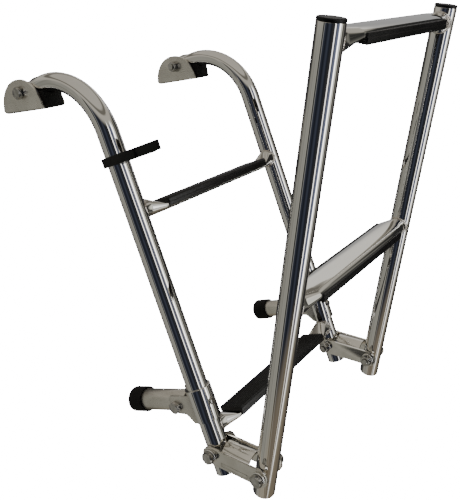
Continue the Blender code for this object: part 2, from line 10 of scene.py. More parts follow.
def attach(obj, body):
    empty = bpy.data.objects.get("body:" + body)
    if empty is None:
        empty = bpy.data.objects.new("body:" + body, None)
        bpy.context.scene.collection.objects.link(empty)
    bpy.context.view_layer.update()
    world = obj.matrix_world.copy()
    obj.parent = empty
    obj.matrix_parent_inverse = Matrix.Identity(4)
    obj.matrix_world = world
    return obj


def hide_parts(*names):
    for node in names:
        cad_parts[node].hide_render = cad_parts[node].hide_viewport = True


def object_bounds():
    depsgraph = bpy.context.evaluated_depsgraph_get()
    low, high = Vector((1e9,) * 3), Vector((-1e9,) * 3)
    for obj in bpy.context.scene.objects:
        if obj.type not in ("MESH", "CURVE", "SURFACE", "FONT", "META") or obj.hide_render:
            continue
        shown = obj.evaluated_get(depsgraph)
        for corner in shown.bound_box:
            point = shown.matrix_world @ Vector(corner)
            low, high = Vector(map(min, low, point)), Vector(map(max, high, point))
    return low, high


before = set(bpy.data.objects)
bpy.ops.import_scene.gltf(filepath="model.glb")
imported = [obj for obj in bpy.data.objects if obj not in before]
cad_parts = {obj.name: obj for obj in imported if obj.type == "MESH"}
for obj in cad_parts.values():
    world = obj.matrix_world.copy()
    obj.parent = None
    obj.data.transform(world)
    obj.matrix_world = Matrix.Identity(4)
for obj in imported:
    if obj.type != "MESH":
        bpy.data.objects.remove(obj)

CAD_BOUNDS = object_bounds()

# Tubes and poses, as in the CAD model
GAP = 0.0003                # clearance between neighbouring parts
SHY = 0.0001                # keeps faces that are joined from lying in one plane
TUBE_RADIUS = 0.0125
TUBE_BORE = 0.0110
TUBE_SIDES = 96
LEG_X = 0.135
LEAN = radians(11.0)
LINK_TURN = radians(19.5)
STILE_TURN = radians(9.8)
PIVOT_HEIGHT = 0.0225
TUBE_EASE = 0.0004          # rounding of a cut tube end

# Meshes
SMALLEST_RADIUS = 0.00001   # of a turned skin, so that no ring shrinks to one point
SHARP_ANGLE = 34.0          # degrees between faces, above which an edge is drawn sharp
BEVEL_ANGLE = 32.0          # and above which it is rounded

# Upper section, measured from the pivot bolt
NECK_STRAIGHT = 0.024
NECK_RADIUS = 0.080
NECK_HEEL = 0.012
NECK_STEPS = 40
NECK_SQUASH = 0.87          # in-plane thickness of the bend, as a share of the tube
NECK_FADE = 60.0            # degrees over which the squash comes in
LEG_REACH = NECK_STRAIGHT + NECK_RADIUS
LEG_DROP = 0.455
UPPER_HEEL = 0.028
UPPER_RUNGS = (0.285, 0.0263)

# Lower section, measured from the second link bolt
STILE_TOP = 0.4755
STILE_HEEL = 0.0295
LOWER_RUNGS = (0.456, 0.2045)

# Rungs and treads
RUNG_SIDES = 80
RUNG_RADIUS = 0.011
RUNG_FLAT_HALF = 0.100      # pressed flat out to here
RUNG_ROUND_FROM = 0.1205    # and round again from here
RUNG_FLAT_STEPS = 4         # rings along half the flat
RUNG_BLEND_STEPS = 14       # rings along each change of section
RUNG_FLAT_REACH = 0.0149    # half the width of the pressed part
RUNG_FLAT_TOP = -0.0026     # height of its flat above the rung's axis
RUNG_FLAT_EDGE = 0.0014     # height of the flat above the widest line
RUNG_EDGE_POWER = 5.0       # superellipse powers of the flat's edge and of the belly
RUNG_BELLY_POWER = 2.5
TREAD_LENGTH = 0.196
TREAD_WALL = 0.0022
TREAD_HOOK = 0.0007         # how far the skirt's foot closes in under the rung
TREAD_STRAIGHT = -0.0052    # heights above the rung's axis, of the skirt's straight part
TREAD_SKIRT = -0.0072       # and of its foot
TREAD_BAND = 0.0006         # step in the skirt above its foot
TREAD_BAND_TOP = -0.0030
TREAD_TOP = 0.0033
TREAD_SHOULDER = 0.0016     # rounding between the ribs and the skirt
TREAD_CHAMFER = 0.001       # of the hollow's inner corners
TREAD_EDGE = 0.0006         # rounding of the tread's ends
TREAD_HALF_DEPTH = 0.006    # about half the tread's depth, which sets how far its ends draw in
TREAD_FOOT_EASE = 0.0004    # chamfer of the skirt's foot
RIB_HEIGHT = 0.0010
RIB_COUNT = 11
WELD_RADIUS = 0.0013
WELD_SINK = 0.0002
WELD_RIPPLES = 34
RIPPLE_RINGS = 6            # rings to a ripple
WELD_SIDES = 14
WELD_RISE = 0.72            # the bead's section, as shares of its radius
WELD_SPREAD = 1.15
WELD_BASE = 0.86            # its radius along the seam, as shares of the full one: between ripples,
WELD_RIPPLE = 0.16          # added by a ripple
WELD_WANDER = 0.05          # and by a slow wander

# Deck bracket
BRACKET_PLATE = 0.003
BRACKET_HALF_WIDTH = 0.016
BRACKET_BEND = 0.004
EAR_RADIUS = 0.038
EAR_SHIFT = 0.002
EAR_CORNER = 0.006
SCREW_HOLE_RADIUS = 0.00325
SCREW_HOLES = (-0.006, 0.026)
BRACKET_EASE = 0.0005
HOLE_SIDES = 40
PAD_LIP = 0.0025
PAD_TO = -0.017
PAD_TOP = 0.021
PAD_FLOOR = 0.0005
PAD_EASE = 0.0008

# Hinge link
LINK_PITCH = 0.065
LINK_PLATE = 0.003
LINK_HALF_WIDTH = 0.016
LINK_END_RADIUS = 0.0105
ARCH_FROM = 0.0142
ARCH_TO = 0.0505
BACK_RADIUS = 0.0152
BACK_BORE = 0.0131
BACK_FOOT = -0.004
BACK_STEPS = 44
END_STEPS = 40
LINK_EASE = 0.0004
PANEL = (-0.0500, -0.0150, -0.0074, -0.0026)    # embossed panel: its ends, its low and high edge
PANEL_LINE = 0.0005
PANEL_DEPTH = 0.0006

# Fasteners
BOLT_RADIUS = 0.004
HEX_RADIUS = 0.0075
HEAD_HEIGHT = 0.0053
NUT_HEIGHT = 0.0065
BOLT_TAIL = 0.002
WASHER_RADIUS = 0.008
WASHER_THICK = 0.0014
WASHER_ROUND = 0.0009       # rounding of the outer rim
WASHER_EASE = 0.0002
HEX_CHAMFER = 0.5           # slope of the chamfer, down towards the corners
HEX_MARGIN = 0.0002         # depth of the chamfer at the flats
HEX_SIDES = 48
THREAD_EASE = 0.0004        # chamfer of a nut's bore
SHANK_EASE = 0.0006         # chamfer of a bolt's tail
SHANK_ROOT = 0.001          # end of a shank inside its head, past the head's seat
HEX_RIM = 0.985             # radius of a hexagon's turned face, as a share of half its width
DISH_RIM = 0.80             # the dish in a bolt's head: its rim and its floor, as shares of the same
DISH_FLOOR = 0.76
DISH_DEPTH = 0.00025

# Stand-off clamp and arm, heights above the link bolt
SLEEVE_WALL = 0.0022
SLEEVE_BOTTOM = 0.038
SLEEVE_TOP = 0.0765
ARM_HEIGHT = 0.059
ARM_BOLT_REACH = 0.028
CHEEK_REACH = 0.037
CHEEK_TOP = 0.0715
CHEEK_LOW = 0.049
CHEEK_CORNER = 0.004
CHEEK_ROOT = 0.002          # where the cheeks begin, measured from the tube's axis
CHEEK_INSET = 0.0005        # how far the cheeks stop short of the sleeve's lower end
CLAMP_EASE = 0.0004
ARM_FROM = 0.018
ARM_TO = 0.1115
FOOT_FROM = 0.092
FOOT_RADIUS = 0.0150
FOOT_WALL = 0.0032
FOOT_EDGE = 0.0028
FOOT_LIP = 0.001            # rounding of the foot's mouth
FOOT_MOUTH = 0.0005         # chamfer of its bore
SET_SCREW_RADIUS = 0.0026
SET_SCREW_HEAD_RADIUS = 0.0042
SET_SCREW_HEAD_HEIGHT = 0.0025

# Stowage clip
CLIP_HEIGHT = 0.3452
CLIP_THICK = 0.0103
CLIP_RING_RADIUS = 0.0170
CLIP_HALF_WIDTH = 0.0165
CLIP_NECK_HALF_WIDTH = 0.0150
CLIP_NECK_FROM = -0.046
CLIP_NECK_TO = -0.056
CLIP_END = -0.0825
CLIP_EDGE = 0.0012
CLIP_SLOPE = 0.008          # corner cut off beside the jaw
CLIP_STEP = 0.002           # slope into the neck and out of it
CLIP_EASE = 0.0005

# Stile plug
PLUG_CAP = 0.003
PLUG_STEM = 0.015
PLUG_ROUND = 0.0012
PLUG_EASE = 0.0005

BORE_RADIUS = TUBE_RADIUS + GAP
SLEEVE_RADIUS = BORE_RADIUS + SLEEVE_WALL
SIDES = ((-1, "left"), (1, "right"))

DECK = Matrix()
UPPER = Matrix.Translation((0, 0, PIVOT_HEIGHT)) @ Matrix.Rotation(-LEAN, 4, "X")
LINK = UPPER @ Matrix.Translation((0, -LEG_REACH, -LEG_DROP)) @ Matrix.Rotation(LINK_TURN, 4, "X")
LOWER = LINK @ Matrix.Translation((0, -LINK_PITCH, 0)) @ Matrix.Rotation(STILE_TURN, 4, "X")


# ---------------------------------------------------------------- materials

def node(tree, kind, **inputs):
    """A new node with the named inputs set; an underscore stands for a space."""
    made = tree.nodes.new(kind)
    for name, value in inputs.items():
        made.inputs[name.replace("_", " ")].default_value = value
    return made


def noise(tree, scale, stretch, turn, detail=4.0, roughness=0.55):
    """Noise stretched by a factor along each axis of a section that is turned about X."""
    place = tree.nodes.new("ShaderNodeTexCoord")
    mapping = tree.nodes.new("ShaderNodeMapping")
    mapping.vector_type = "TEXTURE"
    mapping.inputs["Rotation"].default_value = (turn, 0.0, 0.0)
    mapping.inputs["Scale"].default_value = [1.0 / share for share in stretch]
    made = node(tree, "ShaderNodeTexNoise", Scale=scale, Detail=detail, Roughness=roughness)
    tree.links.new(place.outputs["Object"], mapping.inputs["Vector"])
    tree.links.new(mapping.outputs["Vector"], made.inputs["Vector"])
    return made.outputs["Fac"]


def spread(tree, source, low, high, start=0.3, end=0.7):
    """A value that runs from low to high as the source runs from start to end."""
    made = node(tree, "ShaderNodeMapRange", From_Min=start, From_Max=end, To_Min=low, To_Max=high)
    tree.links.new(source, made.inputs["Value"])
    return made.outputs["Result"]


COLOUR_RANGE = (0.32, 0.70)     # part of the noise over which a colour changes


def surface(name, colours, roughness, metallic, coarse, fine, bump, turn=0.0, specular=0.5):
    """A Principled material whose colour follows coarse noise and whose polish follows fine noise.

    coarse and fine are (scale, stretch) pairs, bump is (strength, distance), turn is the angle
    about X of the section that the stretch follows.
    """
    made = bpy.data.materials.new(name)
    made.use_nodes = True
    tree = made.node_tree
    shader = tree.nodes["Principled BSDF"]
    shader.inputs["Metallic"].default_value = metallic
    shader.inputs["Specular IOR Level"].default_value = specular
    broad = noise(tree, *coarse, turn)
    grain = noise(tree, *fine, turn)
    ramp = tree.nodes.new("ShaderNodeValToRGB")
    for element, position in zip(ramp.color_ramp.elements, COLOUR_RANGE):
        element.position = position
    for element, colour in zip(ramp.color_ramp.elements, colours):
        element.color = (*colour, 1.0)
    tree.links.new(broad, ramp.inputs["Fac"])
    tree.links.new(ramp.outputs["Color"], shader.inputs["Base Color"])
    tree.links.new(spread(tree, grain, *roughness), shader.inputs["Roughness"])
    relief = node(tree, "ShaderNodeBump", Strength=bump[0], Distance=bump[1])
    tree.links.new(grain, relief.inputs["Height"])
    tree.links.new(relief.outputs["Normal"], shader.inputs["Normal"])
    return made


UPPER_TURN = -LEAN
TILTED_LINK_TURN = UPPER_TURN + LINK_TURN
LOWER_TURN = TILTED_LINK_TURN + STILE_TURN

# Darkest and lightest colour of each steel
MIRROR = ((0.74, 0.725, 0.695), (0.86, 0.85, 0.825))
SATIN = ((0.68, 0.655, 0.60), (0.84, 0.815, 0.76))
BRIGHT = ((0.80, 0.79, 0.76), (0.94, 0.93, 0.91))
DULL = ((0.34, 0.33, 0.31), (0.60, 0.59, 0.57))


def mirror_steel(name, turn, along):
    """Polished tube with faint lines along the axis named."""
    coarse = [1.0, 1.0, 1.0]
    fine = [1.0, 1.0, 1.0]
    coarse[along] = 0.25
    fine[along] = 0.015
    return surface(name, MIRROR, (0.01, 0.04), 1.0, (16.0, coarse), (900.0, fine), (0.02, 0.0001), turn)


def satin_steel(name, turn, along, roughness=(0.24, 0.38)):
    """Brushed plate with its grain along the axis named."""
    fine = [1.0, 1.0, 1.0]
    fine[along] = 0.04
    return surface(name, SATIN, roughness, 1.0, (45.0, (1, 1, 1)), (1300.0, fine), (0.07, 0.0001), turn)


LEG_STEEL = mirror_steel("leg_steel", UPPER_TURN, 2)
STILE_STEEL = mirror_steel("stile_steel", LOWER_TURN, 2)
RUNG_STEEL = mirror_steel("rung_steel", LOWER_TURN, 0)
BRACKET_STEEL = satin_steel("bracket_steel", 0.0, 1)
CHEEK_STEEL = satin_steel("cheek_steel", UPPER_TURN, 1)
LINK_STEEL = satin_steel("link_steel", TILTED_LINK_TURN, 1, (0.09, 0.20))
ARM_STEEL = satin_steel("arm_steel", UPPER_TURN, 1)
WASHER_STEEL = surface("washer_steel", BRIGHT, (0.03, 0.10), 1.0, (120.0, (1, 1, 1)),
                       (1500.0, (0.3, 1, 1)), (0.04, 0.0001))
BOLT_STEEL = surface("bolt_steel", DULL, (0.09, 0.22), 1.0, (160.0, (1, 1, 1)),
                     (1500.0, (0.3, 1, 1)), (0.10, 0.0002))
WELD_STEEL = surface("weld_steel", ((0.46, 0.40, 0.34), (0.78, 0.76, 0.73)), (0.10, 0.30), 1.0,
                     (260.0, (1, 1, 1)), (1200.0, (1, 1, 1)), (0.25, 0.0003))
RUBBER = surface("rubber", ((0.004, 0.004, 0.004), (0.010, 0.0095, 0.009)), (0.50, 0.78), 0.0,
                 (120.0, (1, 1, 1)), (1800.0, (1, 1, 1)), (0.20, 0.0003), specular=0.22)
TREAD = surface("tread", ((0.004, 0.004, 0.0045), (0.011, 0.011, 0.0115)), (0.30, 0.48), 0.0,
                (90.0, (0.4, 1, 1)), (2200.0, (1, 1, 1)), (0.18, 0.0003), specular=0.45)
PLASTIC = surface("plastic", ((0.003, 0.003, 0.0035), (0.009, 0.009, 0.0095)), (0.32, 0.50), 0.0,
                  (110.0, (1, 1, 1)), (1600.0, (1, 1, 1)), (0.14, 0.0002), specular=0.25)


# ---------------------------------------------------------------- meshes

def finish_mesh(form):
    """A mesh from a bmesh, its faces turned out."""
    bmesh.ops.recalc_face_normals(form, faces=form.faces)
    mesh = bpy.data.meshes.new("mesh")
    form.to_mesh(mesh)
    form.free()
    return mesh


def skin(rings, loop=False):
    """A skin through equal rings of points: closed into a loop of rings, or capped at its ends."""
    form = bmesh.new()
    rows = [[form.verts.new(point) for point in ring] for ring in rings]
    pairs = list(zip(rows, rows[1:]))
    if loop:
        pairs.append((rows[-1], rows[0]))
    count = len(rows[0])
    for near, far in pairs:
        for index in range(count):
            following = (index + 1) % count
            form.faces.new((near[index], near[following], far[following], far[index]))
    if not loop:
        form.faces.new(rows[0])
        form.faces.new(rows[-1])
    return finish_mesh(form)


def circle(radius, height, sides=TUBE_SIDES):
    """A ring of points square to Z."""
    angles = [tau * index / sides for index in range(sides)]
    return [(radius * cos(angle), radius * sin(angle), height) for angle in angles]


def turned(profile, sides=TUBE_SIDES, loop=False):
    """A skin of revolution about Z through (radius, height) pairs; a loop closes on itself."""
    return skin([circle(max(radius, SMALLEST_RADIUS), height, sides) for radius, height in profile], loop)


def pipe(outer, inner, bottom, top):
    """A hollow tube along Z with eased ends."""
    ease = TUBE_EASE
    turn = 0.3 * ease
    profile = [(outer - ease, bottom), (outer - turn, bottom + turn), (outer, bottom + ease),
               (outer, top - ease), (outer - turn, top - turn), (outer - ease, top),
               (inner, top), (inner, bottom)]
    return turned(profile, loop=True)


def rod(radius, half, sides=TUBE_SIDES):
    """A cylinder along Z, centred, for cutting round holes."""
    return turned([(radius, -half), (radius, half)], sides)


def arc(centre, radius, start, end, steps):
    """Points on an arc, in degrees, both ends included."""
    points = []
    for index in range(steps + 1):
        angle = radians(start + (end - start) * index / steps)
        points.append((centre[0] + radius * cos(angle), centre[1] + radius * sin(angle)))
    return points


def plate(outline, thickness):
    """A flat plate in XY from one outline, centred on Z."""
    half = thickness / 2
    return skin([[(x, y, -half) for x, y in outline], [(x, y, half) for x, y in outline]])


def block(low, high):
    """A box between two corners."""
    corners = ((low[0], low[1]), (high[0], low[1]), (high[0], high[1]), (low[0], high[1]))
    return skin([[(x, y, z) for x, y in corners] for z in (low[2], high[2])])


def moved(mesh, place):
    """The same mesh, moved to its place."""
    mesh.transform(place)
    return mesh


def along_x(location, side=1):
    """A frame whose Z runs along X, to the given side."""
    return Matrix.Translation(location) @ Matrix.Rotation(side * pi / 2, 4, "Y")


def along_y(location=(0.0, 0.0, 0.0), side=1):
    """A frame whose Z runs along Y, to the boat for side 1."""
    return Matrix.Translation(location) @ Matrix.Rotation(-side * pi / 2, 4, "X")


def side_view(location=(0.0, 0.0, 0.0)):
    """A frame whose XY plane is the ladder's side view: its X is Y, its Y is Z."""
    return Matrix.Translation(location) @ Matrix(((0, 0, 1, 0), (1, 0, 0, 0), (0, 1, 0, 0), (0, 0, 0, 1)))


def evaluated(mesh, steps):
    """The mesh after a list of modifier set-ups, functions of the object that may return a helper."""
    holder = bpy.data.objects.new("holder", mesh)
    bpy.context.scene.collection.objects.link(holder)
    helpers = [step(holder) for step in steps]
    graph = bpy.context.evaluated_depsgraph_get()
    result = bpy.data.meshes.new_from_object(holder.evaluated_get(graph))
    for item in [holder] + [helper for helper in helpers if helper]:
        bpy.data.objects.remove(item)
    return result


def boolean(mesh, operation):
    """A modifier set-up that combines the object with another mesh."""
    def step(holder):
        helper = bpy.data.objects.new("helper", mesh)
        bpy.context.scene.collection.objects.link(helper)
        made = holder.modifiers.new(operation, "BOOLEAN")
        made.operation = operation
        made.solver = "EXACT"
        made.object = helper
        return helper
    return step


def bevel(width, segments=3):
    """A modifier set-up that rounds the sharp edges."""
    def step(holder):
        made = holder.modifiers.new("bevel", "BEVEL")
        made.width = width
        made.segments = segments
        made.limit_method = "ANGLE"
        made.angle_limit = radians(BEVEL_ANGLE)
    return step


def piece(node_name, mesh, place, body, materials):
    """A visible piece on a CAD body, shown instead of its CAD node."""
    replaced = [node_name]
    mesh.transform(place)
    made = bpy.data.objects.new(node_name + "_shown", mesh)
    bpy.context.scene.collection.objects.link(made)
    mesh.materials.clear()
    for material in materials:
        mesh.materials.append(material)
    mesh.shade_smooth()
    mesh.set_sharp_from_angle(angle=radians(SHARP_ANGLE))
    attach(made, body)
    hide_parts(*replaced)


# ---------------------------------------------------------------- fasteners

def hex_reach(apothem, angle):
    """The distance from a hexagon's centre to its outline at an angle."""
    return apothem / cos(angle % (pi / 3) - pi / 6)


def hex_ring(height, drop):
    """The hexagon's outline, dropping towards its corners as a turned chamfer leaves it."""
    apothem = HEX_RADIUS * cos(pi / 6)
    ring = []
    for index in range(HEX_SIDES):
        angle = tau * index / HEX_SIDES
        radius = hex_reach(apothem, angle)
        ring.append((radius * cos(angle), radius * sin(angle), height + drop * (radius - apothem)))
    return ring


def hex_body(low, high, hole=0.0):
    """A hex prism from low to high with both rims chamfered, with a hole or with a dished face."""
    apothem = HEX_RADIUS * cos(pi / 6)
    rim = apothem * HEX_RIM
    rings = [circle(rim, low, HEX_SIDES), hex_ring(low + HEX_MARGIN, HEX_CHAMFER),
             hex_ring(high - HEX_MARGIN, -HEX_CHAMFER), circle(rim, high, HEX_SIDES)]
    if hole:
        mouth = hole + THREAD_EASE
        rings += [circle(mouth, high, HEX_SIDES), circle(hole, high - THREAD_EASE, HEX_SIDES),
                  circle(hole, low + THREAD_EASE, HEX_SIDES), circle(mouth, low, HEX_SIDES)]
        return skin(rings, True)
    rings += [circle(apothem * DISH_RIM, high, HEX_SIDES),
              circle(apothem * DISH_FLOOR, high - DISH_DEPTH, HEX_SIDES)]
    return skin(rings)


def bolt(node_name, place, seat, body):
    """A hex head seated at a distance along Z, with its shank and chamfered tail."""
    root = seat + SHANK_ROOT
    tail = -(seat + GAP + NUT_HEIGHT + BOLT_TAIL)
    shank = [(BOLT_RADIUS - SHANK_EASE, tail), (BOLT_RADIUS, tail + SHANK_EASE), (BOLT_RADIUS, root)]
    form = bmesh.new()
    form.from_mesh(hex_body(seat + GAP, seat + GAP + HEAD_HEIGHT))
    form.from_mesh(turned(shank, HEX_SIDES))
    piece(node_name, finish_mesh(form), place, body, [BOLT_STEEL])


def nut(node_name, place, seat, body):
    """A hex nut on the bolt's tail, at the same distance on the other side."""
    mesh = hex_body(-(seat + GAP + NUT_HEIGHT), -(seat + GAP), BOLT_RADIUS + SHY)
    piece(node_name, mesh, place, body, [BOLT_STEEL])


def bolt_pair(prefix, parent, location, side, seat, body):
    """A bolt with its head on the given side, and its nut."""
    place = parent @ along_x(location, side)
    bolt(prefix + "_bolt", place, seat, body)
    nut(prefix + "_nut", place, seat, body)


def washer(node_name, location, side):
    """A washer against a cheek of the link, its outer rim rounded."""
    near = LINK_HALF_WIDTH + GAP
    far = near + WASHER_THICK
    ease = WASHER_EASE
    rim = WASHER_RADIUS - WASHER_ROUND
    hole = BOLT_RADIUS + GAP
    profile = [(WASHER_RADIUS - ease, near), (WASHER_RADIUS, near + ease)]
    profile += arc((rim, far - WASHER_ROUND), WASHER_ROUND, 0, 90, 8)
    profile += [(hole + ease, far), (hole, far - ease), (hole, near)]
    piece(node_name, turned(profile, loop=True), LINK @ along_x(location, side), "hinge_links",
          [WASHER_STEEL])


# ---------------------------------------------------------------- deck brackets

def deck_bracket(side, label):
    """A channel in section, cut to its D-shaped walls and drilled."""
    outer = BRACKET_HALF_WIDTH
    inner = outer - BRACKET_PLATE
    bend = BRACKET_BEND
    low = bend - BRACKET_PLATE
    channel = ([(-outer, EAR_RADIUS)]
               + arc((-outer + bend, bend), bend, 180, 270, 10)
               + arc((outer - bend, bend), bend, 270, 360, 10)
               + [(outer, EAR_RADIUS), (inner, EAR_RADIUS)]
               + arc((inner - low, BRACKET_PLATE + low), low, 0, -90, 4)
               + arc((-inner + low, BRACKET_PLATE + low), low, -90, -180, 4)
               + [(-inner, EAR_RADIUS)])
    upright = Matrix.Translation((0, EAR_SHIFT, 0)) @ Matrix.Rotation(pi / 2, 4, "X")
    corner = EAR_RADIUS - EAR_CORNER
    ear = [(-EAR_RADIUS, -GAP), (corner, -GAP)]
    ear += arc((corner, EAR_CORNER - GAP), EAR_CORNER, -90, -8, 10)
    ear += arc((0.0, 0.0), EAR_RADIUS, 11, 180, 64)
    pivot_hole = rod(BOLT_RADIUS + GAP, 0.05, HOLE_SIDES)
    steps = [boolean(moved(plate(ear, 3 * outer), side_view((0, EAR_SHIFT, 0))), "INTERSECT"),
             boolean(moved(pivot_hole, along_x((0, 0, PIVOT_HEIGHT))), "DIFFERENCE")]
    for y in SCREW_HOLES:
        drill = rod(SCREW_HOLE_RADIUS, 0.01, HOLE_SIDES)
        steps.append(boolean(moved(drill, Matrix.Translation((0, y, 0))), "DIFFERENCE"))
    steps.append(bevel(BRACKET_EASE))
    mesh = evaluated(moved(plate(channel, 2 * EAR_RADIUS), upright), steps)
    piece(f"{label}_deck_bracket", mesh, Matrix.Translation((side * LEG_X, 0, 0)), "deck_mounts",
          [BRACKET_STEEL])


def bracket_pad(side, label):
    """A rubber saddle over the bracket's outboard edge, hollowed for the tube."""
    half = BRACKET_HALF_WIDTH - BRACKET_PLATE - 2 * GAP
    base_end = EAR_SHIFT - EAR_RADIUS - GAP
    pad = block((-half, base_end - PAD_LIP, PAD_FLOOR), (half, PAD_TO, PAD_TOP))
    step_cut = block((-2 * half, base_end, -PAD_TOP), (2 * half, 0.0, BRACKET_PLATE + GAP))
    tube = moved(rod(BORE_RADIUS, 0.08), UPPER @ along_y())
    mesh = evaluated(pad, [boolean(step_cut, "DIFFERENCE"), boolean(tube, "DIFFERENCE"), bevel(PAD_EASE)])
    piece(f"{label}_bracket_pad", mesh, Matrix.Translation((side * LEG_X, 0, 0)), "deck_mounts",
          [RUBBER])


# ---------------------------------------------------------------- upper section

def neck_ring(y, z, angle, radius):
    """A ring square to the neck at an angle in degrees, squashed in the plane of the bend."""
    blend = min(1.0, max(0.0, (180.0 - angle) / NECK_FADE))
    thick = radius - TUBE_RADIUS * (1.0 - NECK_SQUASH) * blend
    out_y = cos(radians(angle))
    out_z = sin(radians(angle))
    ring = []
    for index in range(TUBE_SIDES):
        around = tau * index / TUBE_SIDES
        outward = thick * cos(around)
        ring.append((radius * sin(around), y + outward * out_y, z + outward * out_z))
    return ring


def upper_tube(side, label):
    """The goosenecked tube: its heel past the pivot bolt, the bend, the leg and its open foot."""
    foot = -LEG_DROP - UPPER_HEEL
    centres = [(NECK_HEEL, 0.0, 90.0), (NECK_HEEL - TUBE_EASE, 0.0, 90.0)]
    for step in range(NECK_STEPS + 1):
        angle = 90.0 + 90.0 * step / NECK_STEPS
        centres.append((-NECK_STRAIGHT + NECK_RADIUS * cos(radians(angle)),
                        -NECK_RADIUS + NECK_RADIUS * sin(radians(angle)), angle))
    centres += [(-LEG_REACH, foot + TUBE_EASE, 180.0), (-LEG_REACH, foot, 180.0)]
    rings = [neck_ring(*centre, TUBE_RADIUS) for centre in centres]
    rings[0] = neck_ring(*centres[0], TUBE_RADIUS - TUBE_EASE)
    rings[-1] = neck_ring(*centres[-1], TUBE_RADIUS - TUBE_EASE)
    rings += [neck_ring(*centre, TUBE_BORE) for centre in reversed(centres)]
    place = UPPER @ Matrix.Translation((side * LEG_X, 0, 0))
    piece(f"{label}_upper_tube", skin(rings, True), place, "upper_section", [LEG_STEEL])


def power(value, exponent):
    """The value raised to a power, keeping its sign."""
    return abs(value) ** exponent if value > 0 else -(abs(value) ** exponent)


def rung_point(x, angle):
    """A point of the rung's skin: round at the ends, a flat top and a rounded belly under the tread."""
    blend = min(1.0, max(0.0, (abs(x) - RUNG_FLAT_HALF) / (RUNG_ROUND_FROM - RUNG_FLAT_HALF)))
    widest = RUNG_FLAT_TOP - RUNG_FLAT_EDGE
    rise = RUNG_FLAT_EDGE
    shape = 2.0 / RUNG_EDGE_POWER
    if sin(angle) < 0:
        rise = RUNG_RADIUS + widest
        shape = 2.0 / RUNG_BELLY_POWER
    flat_y = RUNG_FLAT_REACH * power(cos(angle), shape)
    flat_z = widest + rise * power(sin(angle), shape)
    return (x, flat_y + (RUNG_RADIUS * cos(angle) - flat_y) * blend,
            flat_z + (RUNG_RADIUS * sin(angle) - flat_z) * blend)


def rung_end(side, angles):
    """The rung's last ring, coped to the tube and sunk a little into the weld."""
    sunk = TUBE_RADIUS - 2 * WELD_SINK
    ring = []
    for angle in angles:
        y = RUNG_RADIUS * cos(angle)
        ring.append((side * (LEG_X - sqrt(sunk * sunk - y * y)), y, RUNG_RADIUS * sin(angle)))
    return ring


def rung_skin():
    """The rung's skin from one tube to the other."""
    span = RUNG_ROUND_FROM - RUNG_FLAT_HALF
    half = [RUNG_FLAT_HALF * step / RUNG_FLAT_STEPS for step in range(1, RUNG_FLAT_STEPS + 1)]
    half += [RUNG_FLAT_HALF + span * step / RUNG_BLEND_STEPS for step in range(1, RUNG_BLEND_STEPS + 1)]
    angles = [tau * (index + 0.5) / RUNG_SIDES for index in range(RUNG_SIDES)]
    stations = [-x for x in reversed(half)] + [0.0] + half
    rings = [[rung_point(x, angle) for angle in angles] for x in stations]
    return skin([rung_end(-1, angles)] + rings + [rung_end(1, angles)])


def weld_bead(side):
    """A rippled bead along the seam where the rung meets the tube."""
    count = WELD_RIPPLES * RIPPLE_RINGS
    seam_radius = RUNG_RADIUS + WELD_SINK
    rings = []
    for index in range(count):
        angle = tau * index / count
        y = seam_radius * cos(angle)
        z = seam_radius * sin(angle)
        x = LEG_X - sqrt(TUBE_RADIUS * TUBE_RADIUS - y * y)
        centre = Vector((side * x, y, z))
        rung_out = Vector((0.0, cos(angle), sin(angle)))
        tube_out = Vector((-side * (LEG_X - x), y, 0.0)).normalized()
        away = (rung_out + tube_out).normalized()
        along = rung_out.cross(tube_out).normalized()
        across = along.cross(away)
        ripple = sin(pi * (index % RIPPLE_RINGS) / RIPPLE_RINGS)
        wander = sin(5.0 * angle + side)
        swell = WELD_RADIUS * (WELD_BASE + WELD_RIPPLE * ripple + WELD_WANDER * wander)
        rise = away * (WELD_RISE * swell)
        width = across * (WELD_SPREAD * swell)
        turns = [tau * step / WELD_SIDES for step in range(WELD_SIDES)]
        rings.append([centre + rise * cos(turn) + width * sin(turn) for turn in turns])
    return skin(rings, True)


def facing(location, up):
    """A rung's frame, turned over where its tread faces down."""
    return Matrix.Translation(location) @ Matrix.Rotation(0.0 if up > 0 else pi, 4, "X")


def rung(node_name, place, body):
    """A rung with a weld bead at each end."""
    form = bmesh.new()
    form.from_mesh(rung_skin())
    steel_faces = len(form.faces)
    for side, _ in SIDES:
        form.from_mesh(weld_bead(side))
    mesh = finish_mesh(form)
    piece(node_name, mesh, place, body, [RUNG_STEEL, WELD_STEEL])
    for polygon in mesh.polygons[steel_faces:]:
        polygon.material_index = 1


def rib(left, pitch, groove):
    """One rib's outline: two flanks and a round crown."""
    middle = left + pitch / 2
    shoulder = groove + 0.45 * RIB_HEIGHT
    points = [(left + 0.20 * pitch, groove), (left + 0.26 * pitch, shoulder)]
    for degrees in (180, 135, 90, 45, 0):
        fall = 0.3 * RIB_HEIGHT * (1 - sin(radians(degrees)))
        points.append((middle + 0.22 * pitch * cos(radians(degrees)), TREAD_TOP - fall))
    return points + [(left + 0.74 * pitch, shoulder), (left + 0.80 * pitch, groove)]


